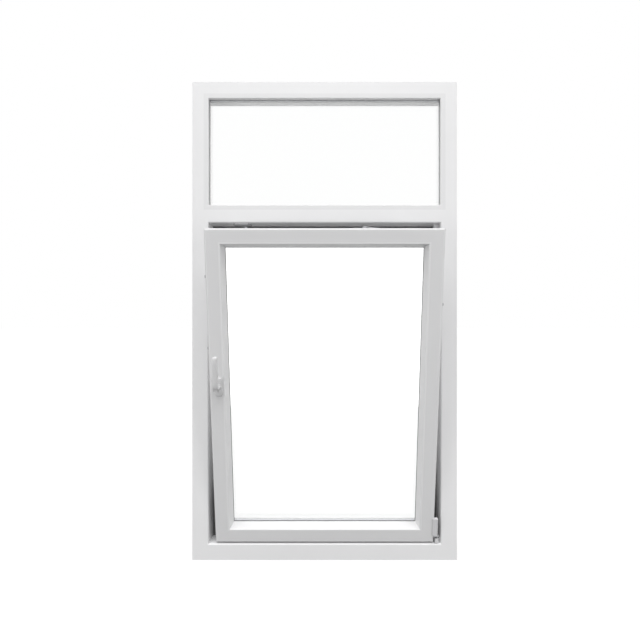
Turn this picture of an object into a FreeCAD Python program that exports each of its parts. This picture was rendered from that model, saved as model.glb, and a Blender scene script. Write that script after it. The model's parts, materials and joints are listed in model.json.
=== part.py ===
import FreeCAD, Part
import math
import os

# Tilt and turn window of white plastic profiles: a fixed light over a sash that stands tilted.
# Millimetres. X runs right as seen from the room, Y from the room to the outside, Z up.
# The origin is the middle of the frame's flat underside.

# Outer frame and transom
frame_width = 1000.0
frame_height = 1806.0
frame_depth = 82.0
frame_face = 61.0
frame_edge_radius = 5.0
sash_light_height = 1214.0
transom_face = 67.0
rebate_depth = 61.0
stop_height = 22.0
transom_stop_height = 41.0
stop_slope = 5.0
stop_edge_radius = 3.0
wall_groove_width = 12.0
wall_groove_depth = 3.5
wall_groove_inset = 14.0

# Sash, measured as it stands when shut
sash_side_gap = 27.7
sash_bottom_gap = 5.5
sash_top_gap = 45.0
sash_depth = 78.0
sash_rebate_floor = 47.0
sash_face = 53.0
sash_sightline = 62.0
sash_edge_radius = 7.0
sash_back_radius = 2.5
sash_nose_depth = 32.0
sash_flange_side = 9.0
sash_flange_end = 3.0
stop_clearance = 5.7
tilt_angle = 7.6

# Glass units, their beads and gaskets
pane_thickness = 4.0
pane_cavity = 16.0
glass_edge_gap = 3.0
spacer_edge_gap = 2.0
spacer_height = 6.5
glazing_gasket_thickness = 3.0
glazing_gasket_reveal = 1.2
gasket_edge_radius = 0.6
outer_lip_setback = 8.0
outer_lip_slope = 4.0
fixed_glass_recess = 15.5
fixed_bead_width = 18.0
fixed_bead_radius = 2.5
sash_glass_recess = 41.0
sash_bead_nose = 5.0
sash_bead_radius = 2.0

# Seal on the frame's stop
seal_base_thickness = 1.5
seal_wall_gap = 1.0
seal_lip_width = 5.0
seal_lip_rise = 2.2
seal_gap = 4.0

# Drive gear in the edge of the sash
gear_groove_width = 16.0
gear_groove_depth = 3.0
rod_groove_width = 12.0
rod_groove_depth = 6.0
rail_thickness = 2.5
corner_drive_leg = 110.0
rail_end_gap = 40.0
bottom_rail_end_gap = 60.0
cam_diameter = 7.0
cam_head_diameter = 10.5
cam_head_thickness = 2.0
cam_reach = 6.0
handle_side_cam_heights = (740.0, 1000.0)
hinge_side_cam_height = 900.0
top_cam_offset = 96.0

# Keeps on the frame
keep_length = 58.0
keep_width = 20.0
keep_thickness = 3.0
keep_catch_rise = 12.0
keep_catch_width = 7.0
keep_edge_radius = 1.2
top_keep_length = 66.0
top_keep_front_length = 48.0
top_keep_setback = 5.0
top_keep_depth = 38.0
top_keep_thickness = 5.0
top_keep_taper = 12.0
top_keep_groove_width = 12.0
top_keep_groove_depth = 2.5

# Handle on the handle stile
handle_inset = 34.0
handle_height = 608.5
rose_width = 26.0
rose_height = 68.0
rose_thickness = 11.0
rose_corner_radius = 10.0
rose_edge_bevel = 2.5
neck_diameter = 17.0
neck_length = 26.0
grip_length = 126.0
grip_width_base = 21.0
grip_width_tip = 17.5
grip_thickness_base = 17.0
grip_thickness_tip = 11.0
grip_below_spindle = 7.0
grip_heel_rise = 13.0
grip_tip_radius = 4.0
grip_edge_bevel = 2.8

# Stay arm at the top of the hinge side
stay_length = 320.0
stay_width = 16.0
stay_thickness = 2.5
stay_lift = 1.4
stay_pin_diameter = 6.0
stay_pin_clearance = 0.3
stay_head_diameter = 11.0
stay_head_thickness = 1.5
slider_length = 84.0
slider_thickness = 2.0
bearing_width = 14.0
bearing_depth = 26.0
bearing_inset = 9.0
bearing_edge_radius = 2.0

# Lower hinge
pivot_body_width = 14.0
pivot_body_wall_gap = 7.5
pivot_block_height = 19.0
pivot_block_depth = 18.0
pivot_block_radius = 3.0
pivot_plate_thickness = 3.0
pivot_plate_setback = 8.0
pivot_plate_depth = 20.0
tilt_axis_inset = 10.0
tilt_axis_height = 13.0
hinge_bracket_width = 10.3
hinge_bracket_height = 73.0
hinge_bracket_rise = 22.8
hinge_bracket_setback = 2.0
hinge_bracket_depth = 5.0
hinge_foot_depth = 14.0
hinge_foot_height = 6.0
hinge_pin_diameter = 6.0
hinge_pin_clearance = 1.6
hinge_pin_depth = 8.0
hinge_cover_lap = 6.5
hinge_cover_wall = 2.8
hinge_cover_front = 4.0
hinge_cover_radius = 2.0
seat_gap = 0.3

# Drain caps on the outside of the sill
drain_cap_count = 3
drain_cap_length = 38.0
drain_cap_height = 14.0
drain_cap_thickness = 5.0
drain_cap_radius = 3.0
drain_cap_spacing = 330.0
drain_cap_level = 22.0

# Places that follow from the sizes above
room_face = -frame_depth / 2
half_width = frame_width / 2
light_half_width = half_width - frame_face
transom_bottom = frame_face + sash_light_height
transom_top = transom_bottom + transom_face
transom_middle = (transom_bottom + transom_top) / 2
glass_unit = 2 * pane_thickness + pane_cavity
fixed_rebate_floor = frame_face - fixed_bead_width
fixed_lip_edge = frame_face - outer_lip_setback
fixed_lip_depth = fixed_glass_recess + glass_unit + glazing_gasket_thickness
sash_width = 2 * (light_half_width - sash_side_gap)
sash_left = -sash_width / 2
sash_bottom = frame_face + sash_bottom_gap
sash_height = sash_light_height - sash_bottom_gap - sash_top_gap
sash_top = sash_bottom + sash_height
sash_lip_depth = sash_glass_recess + glass_unit + glazing_gasket_thickness
sash_lip_edge = sash_sightline - outer_lip_setback
flange_back = rebate_depth - seal_gap
gear_line = (sash_nose_depth + flange_back) / 2
gear_front = room_face + gear_line - gear_groove_width / 2
gear_back = room_face + gear_line + gear_groove_width / 2
side_plate_seat = sash_flange_side - gear_groove_depth
end_plate_seat = sash_flange_end - gear_groove_depth
tilt_axis = FreeCAD.Vector(0, room_face + tilt_axis_inset, frame_face + tilt_axis_height)

X_AXIS = FreeCAD.Vector(1, 0, 0)
Y_AXIS = FreeCAD.Vector(0, 1, 0)
Z_AXIS = FreeCAD.Vector(0, 0, 1)
ORIGIN = FreeCAD.Vector(0, 0, 0)

nodes = {}


def tilted(shape):
    """The shape turned about the sash's tilt axis from its shut place to its tilted one."""
    turned = shape.copy()
    turned.rotate(tilt_axis, X_AXIS, tilt_angle)
    return turned


def tilted_point(x, y, z):
    """Where a point of the shut sash goes when it tilts."""
    turn = FreeCAD.Rotation(X_AXIS, tilt_angle)
    return tilt_axis + turn.multVec(FreeCAD.Vector(x, y, z) - tilt_axis)


def outline_face(outline, place):
    """A face from points (a, b) or (a, b, corner radius); place(a, b) gives each point in space."""
    corners = [(FreeCAD.Vector(p[0], p[1], 0), p[2] if len(p) > 2 else 0.0) for p in outline]
    spans = []
    for i, (corner, radius) in enumerate(corners):
        if radius == 0.0:
            spans.append((corner, None, corner))
            continue
        back = (corners[i - 1][0] - corner).normalize()
        ahead = (corners[(i + 1) % len(corners)][0] - corner).normalize()
        half_angle = back.getAngle(ahead) / 2
        tangent = radius / math.tan(half_angle)
        towards_centre = (back + ahead).normalize()
        middle = corner + towards_centre * (radius / math.sin(half_angle) - radius)
        spans.append((corner + back * tangent, middle, corner + ahead * tangent))
    edges = []
    for i, (start, middle, end) in enumerate(spans):
        if middle is not None:
            arc = Part.Arc(place(start.x, start.y), place(middle.x, middle.y), place(end.x, end.y))
            edges.append(arc.toShape())
        following = spans[(i + 1) % len(spans)][0]
        if end.distanceToPoint(following) > 1e-6:
            edges.append(Part.LineSegment(place(end.x, end.y), place(following.x, following.y)).toShape())
    return Part.Face(Part.Wire(edges))


def straight_bar(outline, start, length):
    """A bar along X from an outline of (distance in from the outer edge, depth from the room face)."""
    face = outline_face(outline, lambda inward, depth: FreeCAD.Vector(start, depth, inward))
    return face.extrude(FreeCAD.Vector(length, 0, 0))


def mitred_bar(outline, length):
    """A straight bar cut at 45 degrees through its two outer corners."""
    spare = frame_depth
    bar = straight_bar(outline, -spare, length + 2 * spare)
    depths = [point[1] for point in outline]
    wedge_points = [(-spare, -spare), (length + spare, -spare), (length / 2, length / 2)]
    wedge = outline_face(wedge_points, lambda x, z: FreeCAD.Vector(x, min(depths), z))
    return bar.common(wedge.extrude(FreeCAD.Vector(0, max(depths) - min(depths), 0)))


def ring_side(side, outline, left, bottom, width, height):
    """One mitred side of a rectangle whose lower left outer corner is at (left, bottom)."""
    angle, length, corner = {
        "bottom": (0, width, (left, bottom)),
        "right": (-90, height, (left + width, bottom)),
        "top": (180, width, (left + width, bottom + height)),
        "left": (90, height, (left, bottom + height)),
    }[side]
    bar = mitred_bar(outline, length)
    bar.rotate(ORIGIN, Y_AXIS, angle)
    bar.translate(FreeCAD.Vector(corner[0], room_face, corner[1]))
    return bar


def ring(outline, left, bottom, width, height):
    """A closed rectangular ring of one outline, in one solid."""
    whole = (left, bottom, width, height)
    sides = [ring_side(side, outline, *whole) for side in ("bottom", "right", "top", "left")]
    return sides[0].multiFuse(sides[1:]).removeSplitter()


def block(x_range, y_range, z_range, radius=0.0, axis=None):
    """A box between three ranges, with the edges along one axis, or all edges, rounded."""
    size = [high - low for low, high in (x_range, y_range, z_range)]
    box = Part.makeBox(*size, FreeCAD.Vector(x_range[0], y_range[0], z_range[0]))
    if radius == 0.0:
        return box
    edges = box.Edges
    if axis is not None:
        edges = [edge for edge in edges if abs(edge.tangentAt(edge.FirstParameter).dot(axis)) > 0.99]
    return box.makeFillet(radius, edges)


def cylinder(diameter, base, axis, height):
    return Part.makeCylinder(diameter / 2, height, base, axis)


def wall_grooves():
    """Outline points of the two grooves in the frame's wall side, from the outside to the room."""
    points = []
    for outer in (frame_depth - wall_groove_inset, wall_groove_inset + wall_groove_width):
        inner = outer - wall_groove_width
        points += [(0, outer), (wall_groove_depth, outer), (wall_groove_depth, inner), (0, inner)]
    return points


def casement_outline():
    """Frame profile round the sash: a face, a deep rebate and a stop with a sloped outer edge."""
    stop_edge = frame_face + stop_height
    return [
        (0, 0),
        (frame_face, 0, frame_edge_radius),
        (frame_face, rebate_depth),
        (stop_edge, rebate_depth, stop_edge_radius / 3),
        (stop_edge - stop_slope, frame_depth, stop_edge_radius),
        (0, frame_depth),
    ] + wall_grooves()


def fixed_outline():
    """Frame profile round the fixed light: a glazing rebate with a sloped outer lip."""
    return [
        (0, 0),
        (fixed_rebate_floor, 0),
        (fixed_rebate_floor, fixed_lip_depth),
        (fixed_lip_edge, fixed_lip_depth),
        (fixed_lip_edge - outer_lip_slope, frame_depth, stop_edge_radius),
        (0, frame_depth),
    ] + wall_grooves()


def jamb(side):
    """A jamb: the casement profile up to the transom, the fixed profile above it."""
    whole = (-half_width, 0, frame_width, frame_height)
    lower = ring_side(side, casement_outline(), *whole)
    upper = ring_side(side, fixed_outline(), *whole)
    depth_range = (room_face, -room_face)
    below = block((-half_width, half_width), depth_range, (0, transom_middle))
    above = block((-half_width, half_width), depth_range, (transom_middle, frame_height))
    return lower.common(below).fuse(upper.common(above)).removeSplitter()


def make_frame():
    whole = (-half_width, 0, frame_width, frame_height)
    nodes["frame_sill"] = ring_side("bottom", casement_outline(), *whole)
    nodes["frame_head"] = ring_side("top", fixed_outline(), *whole)
    nodes["frame_jamb_left"] = jamb("left")
    nodes["frame_jamb_right"] = jamb("right")
    rise = transom_face
    rebate_level = rise - fixed_bead_width
    outline = [
        (0, 0, frame_edge_radius),
        (rebate_level, 0),
        (rebate_level, fixed_lip_depth),
        (rise - outer_lip_setback, fixed_lip_depth),
        (rise - outer_lip_setback - outer_lip_slope, frame_depth, stop_edge_radius),
        (stop_slope - transom_stop_height, frame_depth, stop_edge_radius),
        (-transom_stop_height, rebate_depth, stop_edge_radius / 3),
        (0, rebate_depth),
    ]
    reach = light_half_width + fixed_bead_width
    transom = straight_bar(outline, -reach, 2 * reach)
    transom.translate(FreeCAD.Vector(0, room_face, transom_bottom))
    jambs = nodes["frame_jamb_left"].fuse(nodes["frame_jamb_right"])
    nodes["transom"] = transom.cut(jambs)


def seal_outline(width):
    """Flat base with a soft lip at its inner edge, standing off the stop towards the room."""
    base = rebate_depth - seal_base_thickness
    lip = base - seal_lip_rise
    return [
        (0, rebate_depth),
        (0, base),
        (width - seal_lip_width, base),
        (width - seal_lip_width / 2, lip, gasket_edge_radius),
        (width, base),
        (width, rebate_depth),
    ]


def make_frame_gasket():
    left = seal_wall_gap - light_half_width
    bottom = frame_face + seal_wall_gap
    width = -2 * left
    height = sash_light_height - 2 * seal_wall_gap
    whole = (left, bottom, width, height)
    side_outline = seal_outline(stop_height - 2 * seal_wall_gap)
    sides = [ring_side(side, side_outline, *whole) for side in ("left", "right", "bottom")]
    top = straight_bar(seal_outline(transom_stop_height - 2 * seal_wall_gap), 0, width)
    top.rotate(ORIGIN, Y_AXIS, 180)
    top.translate(FreeCAD.Vector(left + width, room_face, bottom + height))
    top = top.cut(sides[0]).cut(sides[1])
    nodes["frame_gasket"] = top.multiFuse(sides).removeSplitter()


def gasket_outline(floor, sightline, start):
    """Strip of rubber that shows a thin edge past the sightline."""
    edge = sightline + glazing_gasket_reveal
    end = start + glazing_gasket_thickness
    return [(floor, start), (edge, start, gasket_edge_radius), (edge, end), (floor, end)]


def glaze(prefix, left, bottom, width, height, rebate_floor, sightline, lip_edge, recess, move):
    """Two panes, a spacer and two gaskets in the rebate of a light with the given outer rectangle."""
    edge = rebate_floor + glass_edge_gap
    back = recess + glass_unit
    for name, start in (("inner", recess), ("outer", back - pane_thickness)):
        low = room_face + start
        pane = block((left + edge, left + width - edge), (low, low + pane_thickness),
                     (bottom + edge, bottom + height - edge))
        nodes[prefix + "_pane_" + name] = move(pane)
    spacer_edge = edge + spacer_edge_gap
    spacer_start = recess + pane_thickness
    spacer_end = back - pane_thickness
    spacer_outline = [
        (spacer_edge, spacer_start),
        (spacer_edge + spacer_height, spacer_start),
        (spacer_edge + spacer_height, spacer_end),
        (spacer_edge, spacer_end),
    ]
    whole = (left, bottom, width, height)
    nodes[prefix + "_spacer"] = move(ring(spacer_outline, *whole))
    inner_start = recess - glazing_gasket_thickness
    for name, start, show in (("inner", inner_start, sightline), ("outer", back, lip_edge)):
        nodes[prefix + "_gasket_" + name] = move(ring(gasket_outline(edge, show, start), *whole))


def make_fixed_light():
    left = -half_width
    bottom = transom_top - frame_face
    whole = (left, bottom, frame_width, frame_height - bottom)
    glaze("fixed", *whole, fixed_rebate_floor, frame_face, fixed_lip_edge, fixed_glass_recess,
          lambda shape: shape)
    bead_back = fixed_glass_recess - glazing_gasket_thickness
    outline = [
        (fixed_rebate_floor, 0),
        (frame_face, 0, fixed_bead_radius),
        (frame_face, bead_back),
        (fixed_rebate_floor, bead_back),
    ]
    for side in ("top", "bottom", "left", "right"):
        nodes["fixed_bead_" + side] = ring_side(side, outline, *whole)


def sash_outline(flange, step):
    """Sash profile: a nose, a flange with its gear groove, a part inside the stop, a glazing rebate."""
    groove_front = gear_line - gear_groove_width / 2
    groove_back = gear_line + gear_groove_width / 2
    rod_front = gear_line - rod_groove_width / 2
    rod_back = gear_line + rod_groove_width / 2
    seat = gear_groove_depth - flange
    rod_floor = gear_groove_depth + rod_groove_depth - flange
    return [
        (0, 0, sash_edge_radius),
        (sash_rebate_floor, 0),
        (sash_rebate_floor, sash_lip_depth),
        (sash_lip_edge, sash_lip_depth),
        (sash_lip_edge - outer_lip_slope / 2, sash_depth, sash_back_radius),
        (step, sash_depth, sash_back_radius),
        (step, flange_back),
        (-flange, flange_back),
        (-flange, groove_back),
        (seat, groove_back),
        (seat, rod_back),
        (rod_floor, rod_back),
        (rod_floor, rod_front),
        (seat, rod_front),
        (seat, groove_front),
        (-flange, groove_front),
        (-flange, sash_nose_depth),
        (0, sash_nose_depth),
    ]


def make_sash():
    whole = (sash_left, sash_bottom, sash_width, sash_height)
    side_step = stop_height + stop_clearance - sash_side_gap
    top_step = transom_stop_height + stop_clearance - sash_top_gap
    bottom_step = stop_height + stop_clearance - sash_bottom_gap
    members = {
        "top": ("sash_rail_top", sash_flange_end, top_step),
        "bottom": ("sash_rail_bottom", sash_flange_end, bottom_step),
        "left": ("sash_stile_handle", sash_flange_side, side_step),
        "right": ("sash_stile_hinge", sash_flange_side, side_step),
    }
    reach = sash_width / 2 + sash_flange_side
    across = (-reach, reach)
    trims = [
        block(across, (room_face, -room_face), (0, sash_bottom - sash_flange_end)),
        block(across, (room_face + flange_back, -room_face), (0, sash_bottom + bottom_step)),
        block(across, (room_face, -room_face), (sash_top + sash_flange_end, frame_height)),
    ]
    for side in (-1, 1):
        corner = sorted((side * sash_width / 2, side * reach))
        trims.append(block(corner, (gear_front, gear_back), (sash_top, sash_top + sash_flange_end)))
    for side, (name, flange, step) in members.items():
        member = ring_side(side, sash_outline(flange, step), *whole)
        if side in ("left", "right"):
            member = member.cut(trims)
        nodes[name] = tilted(member)
    glaze("sash", *whole, sash_rebate_floor, sash_sightline, sash_lip_edge, sash_glass_recess, tilted)
    bead_back = sash_glass_recess - glazing_gasket_thickness
    outline = [
        (sash_rebate_floor, 0),
        (sash_face, 0, sash_bead_radius),
        (sash_sightline, bead_back - sash_bead_nose, sash_bead_radius),
        (sash_sightline, bead_back),
        (sash_rebate_floor, bead_back),
    ]
    for side in ("top", "bottom", "left", "right"):
        nodes["sash_bead_" + side] = tilted(ring_side(side, outline, *whole))


def side_plate(side, low, high):
    """A length of the gear's face plate in the groove of the left (-1) or right (1) stile."""
    seat = sash_width / 2 + side_plate_seat
    across = sorted((side * seat, side * (seat + rail_thickness)))
    return block(across, (gear_front, gear_back), (low, high))


def end_plate(left, right, seat):
    """A length of the gear's face plate on a level seat in a rail."""
    return block((left, right), (gear_front, gear_back), (seat, seat + rail_thickness))


def cam(x, z, outward):
    """A mushroom cam that stands on a gear rail."""
    base = FreeCAD.Vector(x, room_face + gear_line, z)
    stem = cylinder(cam_diameter, base, outward, cam_reach)
    head_base = base + outward * (cam_reach - cam_head_thickness)
    head = cylinder(cam_head_diameter, head_base, outward, cam_head_thickness)
    return stem.fuse(head)


def make_gear():
    """Face plates in the sash's edge groove, corner drives between them, and their cams."""
    plate_face = sash_width / 2 + side_plate_seat + rail_thickness
    seat = sash_top + end_plate_seat
    crown = seat + rail_thickness
    leg_end = crown - corner_drive_leg
    inner_end = plate_face - corner_drive_leg
    drives = []
    rails = [end_plate(-inner_end, inner_end, seat)]
    for side in (-1, 1):
        upright = side_plate(side, leg_end, crown)
        level = end_plate(*sorted((side * plate_face, side * inner_end)), seat)
        drives.append(upright.fuse(level).removeSplitter())
        rails.append(side_plate(side, sash_bottom + rail_end_gap, leg_end))
    bottom_end = sash_width / 2 - bottom_rail_end_gap
    rails.append(end_plate(-bottom_end, bottom_end, sash_bottom - end_plate_seat - rail_thickness))
    nodes["corner_drives"] = tilted(Part.makeCompound(drives))
    nodes["gear_rails"] = tilted(Part.makeCompound(rails))
    cams = [cam(-plate_face, sash_bottom + height, X_AXIS * -1) for height in handle_side_cam_heights]
    cams.append(cam(plate_face, sash_bottom + hinge_side_cam_height, X_AXIS))
    cams.append(cam(sash_left + top_cam_offset + rail_end_gap, crown, Z_AXIS))
    nodes["locking_cams"] = tilted(Part.makeCompound(cams))


def keep(length):
    """A keep lying on XY, its plate up to keep_thickness and its catch along the room side."""
    plate = block((-length / 2, length / 2), (0, keep_width), (0, keep_thickness), keep_edge_radius, Z_AXIS)
    catch = block((-length / 2, length / 2), (0, keep_catch_width), (0, keep_thickness + keep_catch_rise),
                  keep_edge_radius, Z_AXIS)
    return plate.fuse(catch).removeSplitter()


def make_keeps():
    """Keeps on the jambs beside the cams, and one under the transom over the top cam."""
    keep_front = room_face + gear_line - keep_width / 2 - cam_diameter / 2
    placed = []
    for height in handle_side_cam_heights:
        piece = keep(keep_length)
        piece.rotate(ORIGIN, Y_AXIS, 90)
        piece.translate(FreeCAD.Vector(-light_half_width, keep_front, sash_bottom + height))
        placed.append(piece)
    piece = keep(keep_length)
    piece.rotate(ORIGIN, Y_AXIS, -90)
    piece.translate(FreeCAD.Vector(light_half_width, keep_front, sash_bottom + hinge_side_cam_height))
    placed.append(piece)
    nodes["jamb_keeps"] = Part.makeCompound(placed)


def make_top_keep():
    """Flat keep under the transom, tapered at its front corners and grooved for the cam."""
    middle = sash_left + top_cam_offset
    front = room_face + top_keep_setback
    back = front + top_keep_depth
    long = top_keep_length / 2
    short = top_keep_front_length / 2
    plan = [
        (middle - short, front),
        (middle + short, front),
        (middle + long, front + top_keep_taper),
        (middle + long, back),
        (middle - long, back),
        (middle - long, front + top_keep_taper),
    ]
    under = transom_bottom - top_keep_thickness
    plate = outline_face(plan, lambda x, y: FreeCAD.Vector(x, y, under))
    plate = plate.extrude(Z_AXIS * top_keep_thickness)
    groove_front = room_face + gear_line - top_keep_groove_width / 2
    groove = block((middle - long, middle + short), (groove_front, groove_front + top_keep_groove_width),
                   (under, under + top_keep_groove_depth))
    nodes["top_keep"] = plate.cut(groove)


def make_handle():
    """Rose and lever on the handle stile, the grip pointing up as it does while the sash tilts."""
    x = sash_left + handle_inset
    z = sash_bottom + handle_height
    rose_front = room_face - rose_thickness
    rose = block((x - rose_width / 2, x + rose_width / 2), (rose_front, room_face),
                 (z - rose_height / 2, z + rose_height / 2), rose_corner_radius, Y_AXIS)
    front_edges = [edge for edge in rose.Edges if edge.BoundBox.YMax < rose_front + 0.01]
    nodes["handle_rose"] = tilted(rose.makeChamfer(rose_edge_bevel, front_edges))

    grip_back = rose_front - neck_length
    low = z - grip_below_spindle
    high = low + grip_length
    side_outline = [
        (grip_back, low),
        (grip_back - (grip_thickness_base - grip_thickness_tip) / 2, high, grip_tip_radius),
        (grip_back - (grip_thickness_base + grip_thickness_tip) / 2, high, grip_tip_radius),
        (grip_back - grip_thickness_base, low + grip_heel_rise),
    ]
    side = outline_face(side_outline, lambda y, level: FreeCAD.Vector(x - rose_width, y, level))
    side = side.extrude(X_AXIS * 2 * rose_width)
    base = grip_width_base / 2
    tip = grip_width_tip / 2
    front_outline = [(x - base, low), (x + base, low), (x + tip, high), (x - tip, high)]
    front = outline_face(front_outline, lambda across, level: FreeCAD.Vector(across, grip_back, level))
    front = front.extrude(Y_AXIS * -grip_thickness_base)
    grip = front.common(side)
    grip = grip.makeChamfer(grip_edge_bevel, grip.Edges)
    neck_reach = neck_length + grip_thickness_base / 2
    neck_base = FreeCAD.Vector(x, rose_front, z + neck_diameter / 2 - grip_below_spindle)
    neck = cylinder(neck_diameter, neck_base, Y_AXIS * -1, neck_reach)
    nodes["handle_lever"] = tilted(neck.fuse(grip).removeSplitter())


def make_stay():
    """Arm from a bearing on the hinge jamb to a slider on the top rail of the tilted sash."""
    rail_top = sash_top + end_plate_seat + rail_thickness
    slider_top = rail_top + slider_thickness
    frame_end = FreeCAD.Vector(light_half_width - bearing_inset, room_face + bearing_depth, 0)
    sash_end = tilted_point(0, room_face + gear_line, slider_top)
    arm_bottom = sash_end.z + stay_lift
    arm_top = arm_bottom + stay_thickness
    reach = frame_end.y - sash_end.y
    sash_end.x = frame_end.x - math.sqrt(stay_length ** 2 - reach ** 2)
    hole = stay_pin_diameter + 2 * stay_pin_clearance
    arm = block((0, stay_length), (-stay_width / 2, stay_width / 2), (0, stay_thickness))
    for end in (0, stay_length):
        arm = arm.fuse(cylinder(stay_width, FreeCAD.Vector(end, 0, 0), Z_AXIS, stay_thickness))
    for end in (0, stay_length):
        arm = arm.cut(cylinder(hole, FreeCAD.Vector(end, 0, 0), Z_AXIS, stay_thickness))
    arm = arm.removeSplitter()
    arm.rotate(ORIGIN, Z_AXIS, math.degrees(math.asin(reach / stay_length)))
    arm.translate(FreeCAD.Vector(sash_end.x, sash_end.y, arm_bottom))
    nodes["stay_arm"] = arm

    base = block((sash_end.x - slider_length / 2, sash_end.x + slider_length / 2),
                 (gear_front, gear_back), (rail_top, slider_top))
    base = tilted(base)
    foot = FreeCAD.Vector(sash_end.x, sash_end.y, sash_end.z - slider_thickness / 2)
    boss = cylinder(stay_width, foot, Z_AXIS, arm_bottom - foot.z)
    pin = cylinder(stay_pin_diameter, foot, Z_AXIS, arm_top - foot.z)
    head_base = FreeCAD.Vector(sash_end.x, sash_end.y, arm_top)
    head = cylinder(stay_head_diameter, head_base, Z_AXIS, stay_head_thickness)
    nodes["stay_slider"] = base.multiFuse([boss, pin, head]).removeSplitter()

    half_depth = bearing_depth / 2
    body = block((light_half_width - bearing_width - half_depth / 2, light_half_width),
                 (frame_end.y - half_depth / 2, frame_end.y + half_depth),
                 (arm_top, transom_bottom), bearing_edge_radius, Z_AXIS)
    pin_base = FreeCAD.Vector(frame_end.x, frame_end.y, arm_bottom - stay_head_thickness)
    pin = cylinder(stay_pin_diameter, pin_base, Z_AXIS, arm_top - pin_base.z)
    head = cylinder(stay_head_diameter, pin_base, Z_AXIS, stay_head_thickness)
    nodes["stay_bearing"] = body.multiFuse([pin, head]).removeSplitter()


def make_pivot_block():
    """Pivot rest in the corner of the frame: a body with the pin's socket on an angle of two plates."""
    wall = light_half_width
    right = wall - pivot_body_wall_gap
    left = right - pivot_body_width
    top = frame_face + pivot_block_height
    plate_top = frame_face + pivot_plate_thickness
    body = block((left, right), (room_face, room_face + pivot_block_depth), (plate_top, top),
                 pivot_block_radius, Z_AXIS)
    plate_depth = (room_face + pivot_plate_setback, room_face + pivot_plate_setback + pivot_plate_depth)
    floor_plate = block((left, wall), plate_depth, (frame_face, plate_top))
    wall_plate = block((wall - pivot_plate_thickness, wall), plate_depth, (frame_face, top))
    socket_base = FreeCAD.Vector((left + right) / 2, tilt_axis.y, top - hinge_pin_depth)
    socket = cylinder(hinge_pin_diameter + 2 * hinge_pin_clearance, socket_base, Z_AXIS, hinge_pin_depth)
    nodes["hinge_pivot_block"] = body.multiFuse([floor_plate, wall_plate]).removeSplitter().cut(socket)


def make_lower_hinge():
    """The sash's bracket, whose pin stands in the pivot block, and its cover."""
    edge = sash_width / 2
    pin_x = light_half_width - pivot_body_wall_gap - pivot_body_width / 2
    bracket_bottom = sash_bottom + hinge_bracket_rise
    bracket_top = bracket_bottom + hinge_bracket_height
    foot_top = bracket_bottom + hinge_foot_height
    front = room_face + hinge_bracket_setback
    back = front + hinge_bracket_depth
    bracket = block((edge, edge + hinge_bracket_width), (front, back), (bracket_bottom, bracket_top))
    foot = block((edge, pin_x + hinge_pin_diameter), (front, front + hinge_foot_depth),
                 (bracket_bottom, foot_top), hinge_pin_diameter / 3, Z_AXIS)
    bracket = tilted(bracket.fuse(foot).removeSplitter())
    pin_bottom = frame_face + pivot_block_height - hinge_pin_depth + seat_gap
    pin_base = FreeCAD.Vector(pin_x, tilt_axis.y, pin_bottom)
    pin = cylinder(hinge_pin_diameter, pin_base, Z_AXIS, bracket_bottom + hinge_foot_height / 2 - pin_base.z)
    nodes["hinge_sash_bracket"] = bracket.fuse(pin).removeSplitter()

    bottom = foot_top + seat_gap
    outer = edge + hinge_bracket_width + seat_gap + hinge_cover_wall
    top = bracket_top + seat_gap + hinge_cover_wall
    shell = block((edge - hinge_cover_lap, outer), (room_face - hinge_cover_front, back), (bottom, top),
                  hinge_cover_radius)
    room = block((edge - seat_gap, edge + hinge_bracket_width + seat_gap), (front - seat_gap, back),
                 (bottom, bracket_top + seat_gap))
    stile = block((edge - hinge_cover_lap, edge), (room_face, back), (bottom, top))
    nodes["hinge_cover"] = tilted(shell.cut(stile).cut(room))


def make_drain_caps():
    """Caps over the drain slots low on the outside of the sill."""
    caps = []
    for i in range(drain_cap_count):
        x = (i - (drain_cap_count - 1) / 2) * drain_cap_spacing
        cap = block((x - drain_cap_length / 2, x + drain_cap_length / 2),
                    (-room_face, drain_cap_thickness - room_face),
                    (drain_cap_level, drain_cap_level + drain_cap_height), drain_cap_radius, Y_AXIS)
        caps.append(cap)
    nodes["drain_caps"] = Part.makeCompound(caps)


make_frame()
make_frame_gasket()
make_fixed_light()
make_sash()
make_gear()
make_keeps()
make_top_keep()
make_handle()
make_stay()
make_pivot_block()
make_lower_hinge()
make_drain_caps()

os.makedirs("parts", exist_ok=True)
for name, shape in nodes.items():
    if not shape.isValid():
        print("invalid:", name)
    shape.exportStep("parts/" + name + ".step")
    print(name, len(shape.Solids), round(shape.Volume / 1000, 1), "cm3")
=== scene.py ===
import json
import math

import bmesh
import bpy
from mathutils import Matrix, Vector


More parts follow.
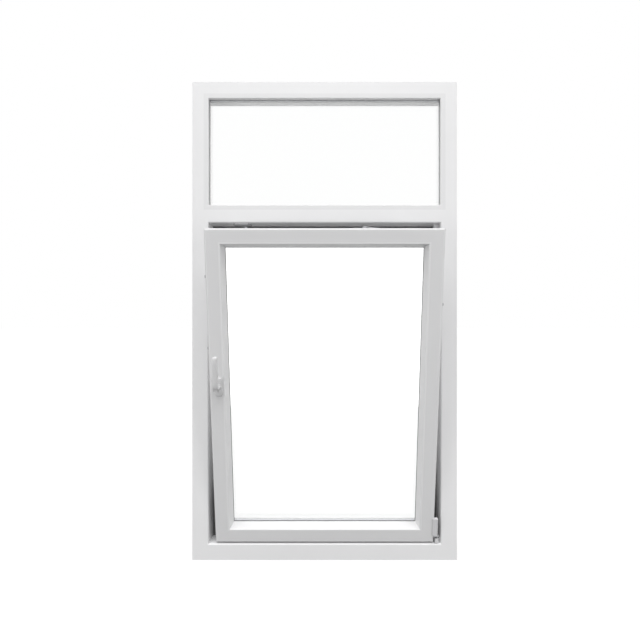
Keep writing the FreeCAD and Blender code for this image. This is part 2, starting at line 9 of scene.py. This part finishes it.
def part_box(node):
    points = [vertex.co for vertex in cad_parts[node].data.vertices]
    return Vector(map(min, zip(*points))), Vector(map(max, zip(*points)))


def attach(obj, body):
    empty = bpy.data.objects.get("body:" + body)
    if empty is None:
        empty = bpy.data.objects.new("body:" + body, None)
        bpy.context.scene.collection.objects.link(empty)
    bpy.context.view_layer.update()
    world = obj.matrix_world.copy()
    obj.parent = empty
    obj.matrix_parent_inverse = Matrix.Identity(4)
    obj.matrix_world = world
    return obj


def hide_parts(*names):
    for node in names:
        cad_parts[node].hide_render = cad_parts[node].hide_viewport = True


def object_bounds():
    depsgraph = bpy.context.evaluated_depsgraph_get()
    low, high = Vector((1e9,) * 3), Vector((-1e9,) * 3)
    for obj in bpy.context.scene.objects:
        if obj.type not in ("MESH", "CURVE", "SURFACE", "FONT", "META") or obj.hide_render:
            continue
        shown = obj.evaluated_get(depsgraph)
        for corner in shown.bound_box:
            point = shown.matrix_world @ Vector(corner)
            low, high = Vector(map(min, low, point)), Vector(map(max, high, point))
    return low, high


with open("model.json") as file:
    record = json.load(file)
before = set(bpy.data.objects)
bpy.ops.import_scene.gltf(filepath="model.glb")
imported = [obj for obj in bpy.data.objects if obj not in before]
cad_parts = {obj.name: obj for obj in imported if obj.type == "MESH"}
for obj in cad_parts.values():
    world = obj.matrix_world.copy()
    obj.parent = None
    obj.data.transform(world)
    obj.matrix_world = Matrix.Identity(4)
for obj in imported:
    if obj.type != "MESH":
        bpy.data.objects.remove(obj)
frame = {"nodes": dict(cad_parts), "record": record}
cad_low, cad_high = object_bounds()

# The window, in metres, and how its sash leans into the room
room_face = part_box("frame_jamb_left")[0].y
outer_face = -room_face
frame_centre_x = (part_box("frame_sill")[0].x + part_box("frame_sill")[1].x) / 2
tilt_angle = math.radians(7.6)
tilt_axis_depth = 0.010
tilt_axis_level = 0.074
tilt_axis = Vector((0.0, room_face + tilt_axis_depth, tilt_axis_level))
lean = Matrix.Rotation(tilt_angle, 4, "X")
tilt = Matrix.Translation(tilt_axis) @ lean @ Matrix.Translation(-tilt_axis)

# Handle, as it stands on the shut sash
handle_x = (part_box("handle_rose")[0].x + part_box("handle_rose")[1].x) / 2
handle_z = 0.675
rose_half_width = 0.013
rose_half_height = 0.034
rose_thickness = 0.011
rose_squareness = 5.0
rose_segments = 56
neck_radius = 0.0085
neck_length = 0.026
neck_straight_share = 0.7
neck_end_share = 0.9
neck_segments = 32
collar_radius = 0.0105
collar_height = 0.0025
collar_round = 0.0008
collar_step = 0.0006
grip_below_spindle = 0.007
grip_above_spindle = 0.119
grip_low = handle_z - grip_below_spindle
grip_high = handle_z + grip_above_spindle
grip_heel_rise = 0.017
grip_heel_edge = 0.003
grip_brow = 0.006
grip_brow_cut = 0.0055
grip_half_width_base = 0.0105
grip_half_width_tip = 0.00875
grip_thickness_base = 0.017
grip_thickness_tip = 0.011
grip_squareness = 3.2
grip_segments = 40
round_squareness = 2.0

# Rings of the grip: height over its foot, its heel, its brow and its tip, and share of the full section
foot_rings = ((0.0, 0.78), (0.0008, 0.93), (0.002, 1.0))
heel_rings = ((-0.002, 1.0), (0.0015, 1.0), (0.02, 1.0))
brow_rings = ((-0.024, 1.0), (-0.001, 1.0), (0.0008, 0.99))
tip_rings = ((-0.0016, 0.95), (-0.0004, 0.85), (0.0, 0.7))

# Rings of the rose: distance behind its front, and how far the edge is drawn in
rose_rings = ((rose_thickness, 0.0), (0.0045, 0.0), (0.0025, 0.0007), (0.001, 0.0021), (0.0, 0.0045))

# Screws in the hardware
screw_radius = 0.0034
screw_height = 0.0009
screw_recess = 0.0007
screw_segments = 16
screw_arm_step = 4

# Rings of a screw's head: height, and shares of its radius between the recess's arms and along them
screw_rings = (
    (0.0, 1.0, 1.0),
    (screw_height / 2, 1.0, 1.0),
    (screw_height, 0.82, 0.82),
    (screw_height, 0.2, 0.56),
    (screw_height - screw_recess, 0.18, 0.5),
)

# Face plates of the gear, on the shut sash
plate_face = 0.4198
plate_crown = 1.2325
plate_under = 0.064
slider_thickness = 0.002
gear_depth = 0.0445
gear_line = room_face + gear_depth
stile_screw_levels = (0.15, 0.32, 0.49, 0.62, 0.9, 0.98)
rail_screw_places = (-0.19, -0.03, 0.06, 0.24)
under_screw_places = (-0.28, 0.0, 0.28)
drive_screw_offsets = (0.022, 0.09)
slider_screw_places = (0.107, 0.173)

# Weld seams across the mitres: flat ridges that stand a hair proud of the faces
seam_half_width = 0.0009
seam_rise = 0.00012
seam_taper = 0.001
seam_end_share = 0.3
seam_segments = 10
sill_room_reach = 0.055
sill_outer_reach = 0.073
head_room_reach = 0.042
head_outer_reach = 0.045
sash_half_width = 0.4113
sash_bottom = 0.0665
sash_top = 1.23
sash_seam_start = 0.0075
sash_seam_end = 0.0465

# Keeps, pivot block and stay bearing, on the frame
jamb_plate_face = 0.436
keep_screw_line = 0.0035
keep_screw_spread = 0.018
left_keep_levels = (0.8065, 1.0665)
right_keep_levels = (0.9665,)
top_keep_middle = -0.3153
top_keep_under = 1.27
top_keep_screw_spread = 0.014
top_keep_screw_depth = 0.024
pivot_x = 0.4245
pivot_foot_level = 0.064
pivot_wall_level = 0.0735
pivot_screw_depth = 0.0232
transom_under = 1.275
bearing_screw_drops = (0.011, 0.031)

# Drain caps, which stand on the outside of the sill
cap_length = 0.038
cap_thickness = 0.005
cap_level = 0.022
cap_spacing = 0.33
cap_corner = 0.0028
cap_corner_segments = 5
cap_margin = 0.005
cap_rows = (0.0, 0.0022, 0.0042, 0.006, 0.008, 0.0098, 0.0118, 0.014)
cap_slot_rows = (2, 4, 6)
cap_slot_inset = 0.0003
cap_slot_depth = 0.0016
close_enough = 1e-5
grid_digits = 4

# The photograph's camera: level and square to the frame
picture_size = 640
frame_pixels = 264.64
frame_centre_pixel = 324.6
camera_distance = 1.5
camera_height = 0.907
sensor_width = 36.0

# Edges sharper than this stay crisp when a piece is shaded
sharp_angle = math.radians(35)

# Faint variation of the skins, driven by noise: shares of the tone, and steps of roughness
plastic_dark_share = 0.985
plastic_smoother = 0.04
plastic_rougher = 0.05
rubber_light_share = 1.5
metal_dark_share = 0.86
metal_smoother = 0.06
metal_rougher = 0.08
ramp_start = 0.3
ramp_end = 0.7

# Light and colour of the studio
room_glow = 0.59
sun_strength = 1.75
sun_elevation = math.radians(70.0)
sun_softness = math.radians(50.0)
top_lamp_power = 5.5
top_lamp_offset = Vector((0.0, -0.9, 1.3))
top_lamp_size = (1.6, 0.5)
side_lamp_power = 26.5
side_lamp_out = 2.6
side_lamp_forward = 1.7
side_lamp_size = (1.2, 2.2)
back_lamp_power = 9.0
back_lamp_offset = Vector((0.0, 2.6, 0.1))
back_lamp_size = (2.6, 2.0)
floor_reach = 40.0
floor_tone = 0.2
floor_white = 0.8


def new_material(name):
    """A new material with its node tree and its shader."""
    material = bpy.data.materials.new(name)
    material.use_nodes = True
    tree = material.node_tree
    return material, tree, tree.nodes["Principled BSDF"]


def object_noise(tree, scale, detail=3.0, stretch=(1.0, 1.0, 1.0)):
    """Noise on Object coordinates, stretched along the axes."""
    place = tree.nodes.new("ShaderNodeTexCoord")
    mapping = tree.nodes.new("ShaderNodeMapping")
    mapping.inputs["Scale"].default_value = stretch
    noise = tree.nodes.new("ShaderNodeTexNoise")
    noise.inputs["Scale"].default_value = scale
    noise.inputs["Detail"].default_value = detail
    tree.links.new(place.outputs["Object"], mapping.inputs["Vector"])
    tree.links.new(mapping.outputs["Vector"], noise.inputs["Vector"])
    return noise.outputs["Fac"]


def scaled_tone(tone, share):
    """A share of a colour."""
    return tuple(channel * share for channel in tone)


def shaded_between(tree, factor, low, high):
    """A colour that runs from low to high with a factor."""
    ramp = tree.nodes.new("ShaderNodeValToRGB")
    for element, position, tone in zip(ramp.color_ramp.elements, (ramp_start, ramp_end), (low, high)):
        element.position = position
        element.color = (*tone, 1.0)
    tree.links.new(factor, ramp.inputs["Fac"])
    return ramp.outputs["Color"]


def value_between(tree, factor, low, high):
    """A number that runs from low to high with a factor."""
    span = tree.nodes.new("ShaderNodeMapRange")
    span.inputs["To Min"].default_value = low
    span.inputs["To Max"].default_value = high
    tree.links.new(factor, span.inputs["Value"])
    return span.outputs["Result"]


def add_bump(tree, shader, height, strength, distance):
    """Let a height roughen the surface, at a strength and over a distance."""
    bump = tree.nodes.new("ShaderNodeBump")
    bump.inputs["Strength"].default_value = strength
    bump.inputs["Distance"].default_value = distance
    tree.links.new(height, bump.inputs["Height"])
    tree.links.new(bump.outputs["Normal"], shader.inputs["Normal"])


def window_plastic(name, tone, roughness):
    """White window plastic: a satin skin with a faint drawn grain and very slight tone changes."""
    material, tree, shader = new_material(name)
    cloud = object_noise(tree, scale=9.0)
    colour = shaded_between(tree, cloud, scaled_tone(tone, plastic_dark_share), tone)
    tree.links.new(colour, shader.inputs["Base Color"])
    grain = object_noise(tree, scale=900.0, detail=2.0)
    dullness = value_between(tree, cloud, roughness - plastic_smoother, roughness + plastic_rougher)
    tree.links.new(dullness, shader.inputs["Roughness"])
    shader.inputs["Specular IOR Level"].default_value = 0.4
    add_bump(tree, shader, grain, strength=0.08, distance=0.0002)
    return material


def seal_rubber(name, tone):
    """Matt rubber with a fine dusty bloom, which is a little lighter than its tone."""
    material, tree, shader = new_material(name)
    bloom = object_noise(tree, scale=60.0, detail=5.0)
    colour = shaded_between(tree, bloom, tone, scaled_tone(tone, rubber_light_share))
    tree.links.new(colour, shader.inputs["Base Color"])
    shader.inputs["Roughness"].default_value = 0.62
    add_bump(tree, shader, object_noise(tree, scale=700.0), strength=0.15, distance=0.0003)
    return material


def plated_metal(name, tone, roughness):
    """Dull metal with fine rolling marks, for the zinc plated hardware and the spacers."""
    material, tree, shader = new_material(name)
    marks = object_noise(tree, scale=240.0, detail=4.0, stretch=(1.0, 1.0, 0.12))
    colour = shaded_between(tree, marks, scaled_tone(tone, metal_dark_share), tone)
    tree.links.new(colour, shader.inputs["Base Color"])
    shader.inputs["Metallic"].default_value = 1.0
    dullness = value_between(tree, marks, roughness - metal_smoother, roughness + metal_rougher)
    tree.links.new(dullness, shader.inputs["Roughness"])
    add_bump(tree, shader, marks, strength=0.1, distance=0.0002)
    return material


def window_glass(name):
    """Clear float glass with the faintest roll waves, which lets lamplight through."""
    material, tree, shader = new_material(name)
    shader.inputs["Base Color"].default_value = (0.996, 0.998, 0.997, 1.0)
    shader.inputs["Roughness"].default_value = 0.0
    shader.inputs["IOR"].default_value = 1.45
    shader.inputs["Transmission Weight"].default_value = 1.0
    waves = object_noise(tree, scale=2.2, detail=1.0)
    add_bump(tree, shader, waves, strength=0.04, distance=0.0004)
    path = tree.nodes.new("ShaderNodeLightPath")
    clear = tree.nodes.new("ShaderNodeBsdfTransparent")
    mix = tree.nodes.new("ShaderNodeMixShader")
    tree.links.new(path.outputs["Is Shadow Ray"], mix.inputs["Fac"])
    tree.links.new(shader.outputs["BSDF"], mix.inputs[1])
    tree.links.new(clear.outputs["BSDF"], mix.inputs[2])
    tree.links.new(mix.outputs["Shader"], tree.nodes["Material Output"].inputs["Surface"])
    return material


materials = {
    "frame_plastic": window_plastic("frame_plastic", (0.80, 0.80, 0.805), 0.36),
    # Painted shade: the sash is the frame's white plastic, set darker because its face leans down, away
    # from the light from above
    "sash_plastic": window_plastic("sash_plastic", (0.70, 0.70, 0.705), 0.36),
    # Painted shade: the glazing beads are the frame's white plastic, set a little darker for the shade on
    # their sloped faces along the glass
    "bead_plastic": window_plastic("bead_plastic", (0.75, 0.75, 0.755), 0.38),
    "cap_plastic": window_plastic("cap_plastic", (0.75, 0.75, 0.76), 0.5),
    # Partly painted shade: black rubber of the frame's seals, which also darkens the stop face in the gap
    # behind the sash, where the shade falls
    "rubber_seal": seal_rubber("rubber_seal", (0.085, 0.085, 0.087)),
    # Partly painted shade: the glazing seals are dark rubber, set darker still so that they keep the line
    # of shade along the beads
    "glazing_rubber": seal_rubber("glazing_rubber", (0.07, 0.07, 0.072)),
    "clear_glass": window_glass("clear_glass"),
    "spacer_aluminium": plated_metal("spacer_aluminium", (0.7, 0.71, 0.73), 0.35),
    "plated_steel": plated_metal("plated_steel", (0.44, 0.445, 0.455), 0.55),
    "handle_finish": window_plastic("handle_finish", (0.61, 0.61, 0.615), 0.22),
    "hinge_finish": window_plastic("hinge_finish", (0.62, 0.62, 0.63), 0.34),
}


def dress_cad_nodes():
    """Each CAD node takes the material of its slot."""
    for part in frame["record"]["subparts"]:
        mesh = frame["nodes"][part["node"]].data
        mesh.materials.clear()
        mesh.materials.append(materials[part["material_slot"]])


def add_camera():
    """The photograph's camera, which sees the frame at its size and place in the picture."""
    camera = bpy.data.cameras.new("photo_camera")
    pixels_per_metre = frame_pixels / (cad_high.x - cad_low.x)
    camera.sensor_width = sensor_width
    camera.lens = pixels_per_metre * camera_distance / picture_size * sensor_width
    camera.shift_x = (picture_size / 2 - frame_centre_pixel) / picture_size
    holder = bpy.data.objects.new("photo_camera", camera)
    holder.location = (frame_centre_x, room_face - camera_distance, camera_height)
    holder.rotation_euler = (math.pi / 2, 0, 0)
    bpy.context.scene.collection.objects.link(holder)
    bpy.context.scene.camera = holder


def add_lamp(name, target, offset, size, power):
    """A rectangular lamp at an offset from its target, turned to face it."""
    light = bpy.data.lights.new(name, "AREA")
    light.shape = "RECTANGLE"
    light.size, light.size_y = size
    light.energy = power
    lamp = bpy.data.objects.new(name, light)
    lamp.location = target + offset
    lamp.rotation_euler = (target - lamp.location).to_track_quat("-Z", "Y").to_euler()
    bpy.context.scene.collection.objects.link(lamp)


def seen_directly(tree):
    """1 for what the camera sees, by itself, in a mirror or through glass, and 0 for diffuse light."""
    path = tree.nodes.new("ShaderNodeLightPath")
    seen = path.outputs["Is Camera Ray"]
    for name in ("Is Glossy Ray", "Is Transmission Ray"):
        either = tree.nodes.new("ShaderNodeMath")
        either.operation = "MAXIMUM"
        tree.links.new(seen, either.inputs[0])
        tree.links.new(path.outputs[name], either.inputs[1])
        seen = either.outputs["Value"]
    return seen


def light_world():
    """White where it is seen, and a soft even glow for everything else."""
    world = bpy.data.worlds.new("studio")
    bpy.context.scene.world = world
    world.use_nodes = True
    tree = world.node_tree
    glow = tree.nodes["Background"]
    glow.inputs["Color"].default_value = (1.0, 1.0, 1.0, 1.0)
    glow.inputs["Strength"].default_value = room_glow
    white = tree.nodes.new("ShaderNodeBackground")
    white.inputs["Color"].default_value = (1.0, 1.0, 1.0, 1.0)
    mix = tree.nodes.new("ShaderNodeMixShader")
    tree.links.new(seen_directly(tree), mix.inputs["Fac"])
    tree.links.new(glow.outputs["Background"], mix.inputs[1])
    tree.links.new(white.outputs["Background"], mix.inputs[2])
    tree.links.new(mix.outputs["Shader"], tree.nodes["World Output"].inputs["Surface"])


def add_lights():
    """A wide soft sun, and lamps above the transom, at both sides and behind the window."""
    sun = bpy.data.lights.new("soft_sun", "SUN")
    sun.energy = sun_strength
    sun.angle = sun_softness
    holder = bpy.data.objects.new("soft_sun", sun)
    holder.rotation_euler = (math.pi / 2 - sun_elevation, 0, 0)
    bpy.context.scene.collection.objects.link(holder)
    transom = Vector((frame_centre_x, room_face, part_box("transom")[1].z))
    add_lamp("top_lamp", transom, top_lamp_offset, top_lamp_size, top_lamp_power)
    middle = Vector((frame_centre_x, room_face, cad_high.z / 2))
    for side, name in ((-1, "left_lamp"), (1, "right_lamp")):
        offset = Vector((side * side_lamp_out, -side_lamp_forward, 0.0))
        add_lamp(name, middle, offset, side_lamp_size, side_lamp_power)
    add_lamp("back_lamp", middle, back_lamp_offset, back_lamp_size, back_lamp_power)


def add_floor():
    """A wide pale floor under the frame, white to the eye and dim as a source of light."""
    shape = bmesh.new()
    bmesh.ops.create_grid(shape, x_segments=2, y_segments=2, size=floor_reach)
    mesh = bpy.data.meshes.new("floor")
    shape.to_mesh(mesh)
    shape.free()
    material, tree, shader = new_material("floor_white")
    shader.inputs["Base Color"].default_value = (floor_tone, floor_tone, floor_tone, 1.0)
    shader.inputs["Roughness"].default_value = 0.9
    shader.inputs["Specular IOR Level"].default_value = 0.0
    shader.inputs["Emission Color"].default_value = (1.0, 1.0, 1.0, 1.0)
    lift = tree.nodes.new("ShaderNodeMath")
    lift.operation = "MULTIPLY"
    lift.inputs[1].default_value = floor_white
    tree.links.new(seen_directly(tree), lift.inputs[0])
    tree.links.new(lift.outputs["Value"], shader.inputs["Emission Strength"])
    mesh.materials.append(material)
    floor = bpy.data.objects.new("floor", mesh)
    bpy.context.scene.collection.objects.link(floor)


def add_piece(name, shape, slot, replaced=()):
    """Put a finished shape into the scene as a piece of the window."""
    bmesh.ops.recalc_face_normals(shape, faces=shape.faces)
    for face in shape.faces:
        face.smooth = True
    for edge in shape.edges:
        edge.smooth = edge.calc_face_angle(0.0) < sharp_angle
    mesh = bpy.data.meshes.new(name)
    shape.to_mesh(mesh)
    shape.free()
    mesh.materials.append(materials[slot])
    piece = bpy.data.objects.new(name, mesh)
    bpy.context.scene.collection.objects.link(piece)
    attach(piece, "root")
    if replaced:
        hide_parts(*replaced)


def add_tilted_piece(name, shape, slot, replaced=()):
    """Put a shape that was made on the shut sash into the scene, leaning as the sash does."""
    bmesh.ops.transform(shape, matrix=tilt, verts=shape.verts)
    add_piece(name, shape, slot, replaced)


def ring_angles(count):
    """The angles at which the points of a ring stand."""
    return [2 * math.pi * i / count for i in range(count)]


def closed_body(shape, rings):
    """Join rings of as many points each, in order, and close the first and the last."""
    loops = []
    for ring in rings:
        verts = bmesh.ops.create_circle(shape, cap_ends=False, radius=1.0, segments=len(ring))["verts"]
        for vert, point in zip(verts, ring):
            vert.co = point
        loops.append(list({edge for vert in verts for edge in vert.link_edges}))
    for below, above in zip(loops, loops[1:]):
        bmesh.ops.bridge_loops(shape, edges=below + above)
    for edges in (loops[0], loops[-1]):
        bmesh.ops.contextual_create(shape, geom=edges)


def rounded_corner(angle, half_width, half_depth, squareness):
    """A point of a superellipse, from a circle at squareness 2 towards a rectangle above it."""
    across = math.copysign(abs(math.cos(angle)) ** (2 / squareness), math.cos(angle))
    along = math.copysign(abs(math.sin(angle)) ** (2 / squareness), math.sin(angle))
    return across * half_width, along * half_depth


def stack_rings(shape, sections, place, segments):
    """Join sections of (level, middle, half width, half depth, squareness), which place sets in space."""
    rings = []
    for level, middle, half_width, half_depth, squareness in sections:
        ring = []
        for angle in ring_angles(segments):
            across, along = rounded_corner(angle, half_width, half_depth, squareness)
            ring.append(place(across, middle + along, level))
        rings.append(ring)
    closed_body(shape, rings)


def point_at_level(across, along, level):
    """A point of the handle, from a section that lies level."""
    return Vector((handle_x + across, along, level))


def point_at_depth(across, up, depth):
    """A point of the handle, from a section that faces the room."""
    return Vector((handle_x + across, depth, up))


def grip_section(level, shrink):
    """A section of the grip, which tapers to the tip and is cut at a slope at its foot and brow."""
    share = (level - grip_low) / (grip_high - grip_low)
    half_width = grip_half_width_base + (grip_half_width_tip - grip_half_width_base) * share
    thickness = grip_thickness_base + (grip_thickness_tip - grip_thickness_base) * share
    back = room_face - rose_thickness - neck_length - (grip_thickness_base - thickness) / 2
    front = back - thickness
    heel = grip_low + grip_heel_rise - level
    if heel > 0:
        front += heel / grip_heel_rise * (thickness - grip_heel_edge)
    brow = level - (grip_high - grip_brow)
    if brow > 0:
        front += brow / grip_brow * grip_brow_cut
    return level, (front + back) / 2, half_width * shrink, (back - front) / 2 * shrink, grip_squareness


def add_lever():
    """Grip with a sloped foot and brow, on a round neck with a collar at the rose."""
    shape = bmesh.new()
    sections = []
    for level, rings in ((grip_low, foot_rings), (grip_low + grip_heel_rise, heel_rings),
                         (grip_high - grip_brow, brow_rings), (grip_high, tip_rings)):
        sections += [grip_section(level + step, shrink) for step, shrink in rings]
    stack_rings(shape, sections, point_at_level, grip_segments)
    front = room_face - rose_thickness
    collar_end = front - collar_height
    neck_end = front - neck_length - grip_thickness_base / 2
    steps = (
        (front, collar_radius),
        (collar_end + collar_round, collar_radius),
        (collar_end, collar_radius - collar_round),
        (collar_end - collar_step, neck_radius),
        (front - neck_length * neck_straight_share, neck_radius),
        (neck_end, neck_radius * neck_end_share),
    )
    neck_z = grip_low + neck_radius
    sections = [(depth, neck_z, radius, radius, round_squareness) for depth, radius in steps]
    stack_rings(shape, sections, point_at_depth, neck_segments)
    add_tilted_piece("lever", shape, "handle_finish", ["handle_lever"])


def add_rose():
    """Rounded rose with a softened front edge."""
    shape = bmesh.new()
    sections = []
    for behind, inset in rose_rings:
        depth = room_face - (rose_thickness - behind)
        half_width = rose_half_width - inset
        half_height = rose_half_height - inset
        sections.append((depth, handle_z, half_width, half_height, rose_squareness))
    stack_rings(shape, sections, point_at_depth, rose_segments)
    add_tilted_piece("rose", shape, "handle_finish", ["handle_rose"])


def add_screw(shape, place, outward):
    """A low screw head with a cross recess, standing on a face."""
    lie = Matrix.Translation(place) @ Vector(outward).to_track_quat("Z", "Y").to_matrix().to_4x4()
    rings = []
    for level, between_arms, along_arms in screw_rings:
        ring = []
        for i, angle in enumerate(ring_angles(screw_segments)):
            reach = screw_radius * (along_arms if i % screw_arm_step == 0 else between_arms)
            ring.append(lie @ Vector((math.cos(angle) * reach, math.sin(angle) * reach, level)))
        rings.append(ring)
    closed_body(shape, rings)


def add_sash_screws():
    """Screws in the gear's face plates, the corner drives and the stay's slider."""
    shape = bmesh.new()
    for side in (-1, 1):
        for level in stile_screw_levels:
            add_screw(shape, (side * plate_face, gear_line, level), (side, 0, 0))
        for offset in drive_screw_offsets:
            add_screw(shape, (side * plate_face, gear_line, plate_crown - offset), (side, 0, 0))
            add_screw(shape, (side * (plate_face - offset), gear_line, plate_crown), (0, 0, 1))
    for x in rail_screw_places:
        add_screw(shape, (x, gear_line, plate_crown), (0, 0, 1))
    for x in slider_screw_places:
        add_screw(shape, (x, gear_line, plate_crown + slider_thickness), (0, 0, 1))
    for x in under_screw_places:
        add_screw(shape, (x, gear_line, plate_under), (0, 0, -1))
    add_tilted_piece("sash_screws", shape, "plated_steel")


def add_frame_screws():
    """Screws in the keeps, the pivot block and the stay's bearing."""
    shape = bmesh.new()
    for side, levels in ((-1, left_keep_levels), (1, right_keep_levels)):
        for level in levels:
            for spread in (-keep_screw_spread, keep_screw_spread):
                add_screw(shape, (side * jamb_plate_face, keep_screw_line, level + spread), (-side, 0, 0))
    for x in (top_keep_middle - top_keep_screw_spread, top_keep_middle + top_keep_screw_spread):
        add_screw(shape, (x, room_face + top_keep_screw_depth, top_keep_under), (0, 0, -1))
    pivot_screw_line = room_face + pivot_screw_depth
    add_screw(shape, (pivot_x, pivot_screw_line, pivot_foot_level), (0, 0, 1))
    add_screw(shape, (jamb_plate_face, pivot_screw_line, pivot_wall_level), (-1, 0, 0))
    bearing_low, bearing_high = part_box("stay_bearing")
    bearing_line = (bearing_low.y + bearing_high.y) / 2
    for drop in bearing_screw_drops:
        add_screw(shape, (bearing_low.x, bearing_line, transom_under - drop), (-1, 0, 0))
    add_piece("frame_screws", shape, "plated_steel")


def add_seam(shape, corner, inward, begin, end, outward):
    """A flat ridge along a mitre, half of it in the face, from begin to end along both sides."""
    run = Vector((inward[0], 0, inward[1]))
    along = run.normalized()
    across = along.cross(outward) * seam_half_width
    start = corner + run * begin
    finish = corner + run * end
    rings = []
    for place, share in ((start, seam_end_share), (start + along * seam_taper, 1.0),
                         (finish - along * seam_taper, 1.0), (finish, seam_end_share)):
        ring = []
        for angle in ring_angles(seam_segments):
            ring.append(place + (across * math.cos(angle) + outward * math.sin(angle) * seam_rise) * share)
        rings.append(ring)
    closed_body(shape, rings)


def add_seams():
    """Weld seams on both faces at the corners of the frame, and on the room face of the sash."""
    frame_seams = bmesh.new()
    sash_seams = bmesh.new()
    for side in (-1, 1):
        for level, up, room_reach, outer_reach in ((0.0, 1, sill_room_reach, sill_outer_reach),
                                                   (cad_high.z, -1, head_room_reach, head_outer_reach)):
            for y, reach in ((room_face, room_reach), (outer_face, outer_reach)):
                corner = Vector((side * cad_high.x, y, level))
                outward = Vector((0, math.copysign(1, y), 0))
                add_seam(frame_seams, corner, (-side, up), seam_taper, reach, outward)
        for level, up in ((sash_bottom, 1), (sash_top, -1)):
            corner = Vector((side * sash_half_width, room_face, level))
            add_seam(sash_seams, corner, (-side, up), sash_seam_start, sash_seam_end, Vector((0, -1, 0)))
    add_piece("frame_weld_seams", frame_seams, "frame_plastic")
    add_tilted_piece("sash_weld_seams", sash_seams, "sash_plastic")


def add_cap(shape, middle):
    """A cap at a place along the sill: a front with three louvres, and a skirt back to the frame."""
    half = cap_length / 2
    columns = (-half, -half + cap_margin, half - cap_margin, half)
    across = len(columns)
    up = len(cap_rows)
    grid = bmesh.ops.create_grid(shape, x_segments=across - 1, y_segments=up - 1, size=1.0)["verts"]
    grid.sort(key=lambda vert: (round(vert.co.y, grid_digits), round(vert.co.x, grid_digits)))
    for i, vert in enumerate(grid):
        x = middle + columns[i % across]
        vert.co = Vector((x, outer_face + cap_thickness, cap_level + cap_rows[i // across]))
    faces = list({face for vert in grid for face in vert.link_faces})
    slots = []
    for face in faces:
        centre = face.calc_center_median()
        row = sum(centre.z - cap_level > level for level in cap_rows)
        if abs(centre.x - middle) < close_enough and row in cap_slot_rows:
            slots.append(face)
    rim = [edge for edge in {edge for face in faces for edge in face.edges} if edge.is_boundary]
    skirt = bmesh.ops.extrude_edge_only(shape, edges=rim)["geom"]
    for item in skirt:
        if isinstance(item, bmesh.types.BMVert):
            item.co.y = outer_face
    back = [item for item in skirt if isinstance(item, bmesh.types.BMEdge)]
    bmesh.ops.contextual_create(shape, geom=back)
    bmesh.ops.recalc_face_normals(shape, faces=shape.faces)
    bmesh.ops.inset_individual(shape, faces=slots, thickness=cap_slot_inset, depth=-cap_slot_depth)


def is_cap_corner(edge, middles, levels):
    """Whether an edge runs back to the frame from one of the four corners of a cap."""
    start, end = (vert.co for vert in edge.verts)
    straight_back = abs(start.x - end.x) < close_enough and abs(start.z - end.z) < close_enough
    off_side = min(abs(abs(start.x - middle) - cap_length / 2) for middle in middles)
    return straight_back and off_side < close_enough and start.z in levels


def add_drain_caps():
    """Three caps with louvres and rounded corners, on the outside of the sill."""
    shape = bmesh.new()
    middles = [number * cap_spacing for number in (-1, 0, 1)]
    for middle in middles:
        add_cap(shape, middle)
    heights = [vert.co.z for vert in shape.verts]
    levels = (min(heights), max(heights))
    corners = [edge for edge in shape.edges if is_cap_corner(edge, middles, levels)]
    bmesh.ops.bevel(shape, geom=corners, affect="EDGES", offset=cap_corner,
                    segments=cap_corner_segments, profile=0.5, material=-1)
    add_piece("louvred_caps", shape, "cap_plastic", ["drain_caps"])


dress_cad_nodes()
add_lever()
add_rose()
add_sash_screws()
add_frame_screws()
add_seams()
add_drain_caps()
add_camera()
light_world()
add_lights()
add_floor()
bpy.context.scene.view_settings.view_transform = "Standard"
